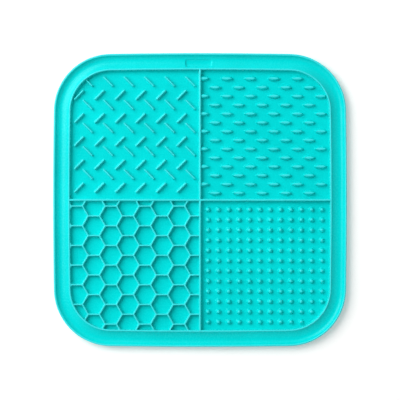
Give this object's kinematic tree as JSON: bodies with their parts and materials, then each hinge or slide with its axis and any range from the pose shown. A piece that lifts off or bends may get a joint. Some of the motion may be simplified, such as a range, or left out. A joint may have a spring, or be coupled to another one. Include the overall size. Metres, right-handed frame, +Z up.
{
  "type": "lick mat",
  "caption": "Rounded-square silicone lick mat with a raised lip, a spill gutter and walled fields of ribs, ovals, honeycomb cells and round nubs that hold spread food for a pet to lick.",
  "frame": {"origin": "centre of the underside, on the surface that the mat lies on", "axes": "+Z up out of the licking side, +Y from the fields of honeycomb cells and round nubs towards those of ribs and ovals, +X from the ribs towards the ovals"},
  "size_m": [0.203, 0.203, 0.006],
  "materials": {
    "silicone": "satin moulded silicone"
  },
  "bodies": {
    "root": {"base_sheet": "silicone", "spill_gutter": "silicone", "field_wall": "silicone", "long_divider": "silicone", "left_cross_divider": "silicone", "right_cross_divider": "silicone", "backslash_ribs": "silicone", "slash_ribs": "silicone", "oval_nubs": "silicone", "level_cell_walls": "silicone", "rising_cell_walls": "silicone", "falling_cell_walls": "silicone", "round_nubs": "silicone"}
  },
  "joints": []
}
